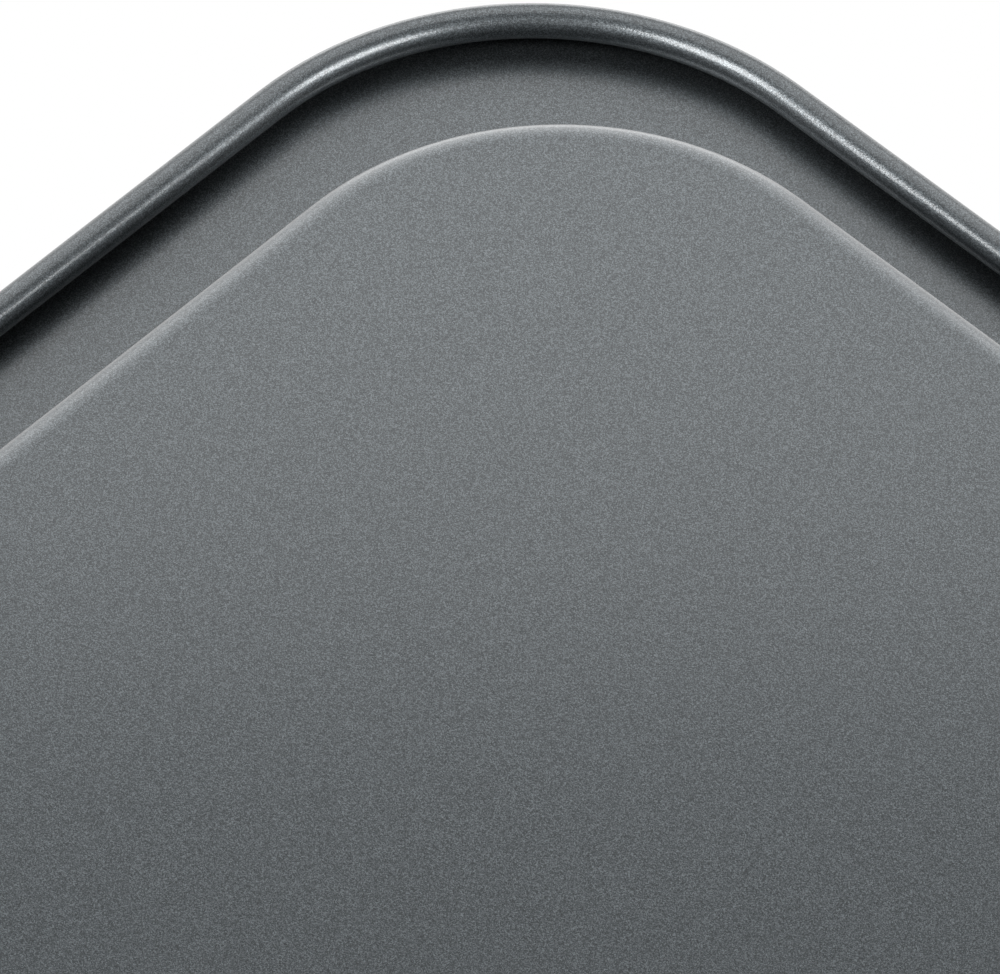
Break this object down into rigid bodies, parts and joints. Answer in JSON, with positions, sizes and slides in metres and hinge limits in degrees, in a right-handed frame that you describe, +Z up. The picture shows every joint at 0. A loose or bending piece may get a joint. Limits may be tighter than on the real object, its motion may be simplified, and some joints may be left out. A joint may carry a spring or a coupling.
{
  "type": "rectangular baking dish",
  "caption": "Shallow rectangular baking dish pressed from coated steel, with rounded corners, sloping walls and a wide flat lip whose edge is turned down and rolled around a wire.",
  "frame": {"origin": "under the middle of the base, on the plane that the dish stands on", "axes": "+X along the length, +Y across the width, +Z up out of the open top"},
  "size_m": [0.3678, 0.2694, 0.0398],
  "materials": {
    "nonstick_coating": "satin dark grey metallic non-stick coating with a fine speckle",
    "wire_steel": "plain drawn wire"
  },
  "bodies": {
    "root": {"pan_body": "nonstick_coating", "rim_wire": "wire_steel"}
  },
  "joints": []
}
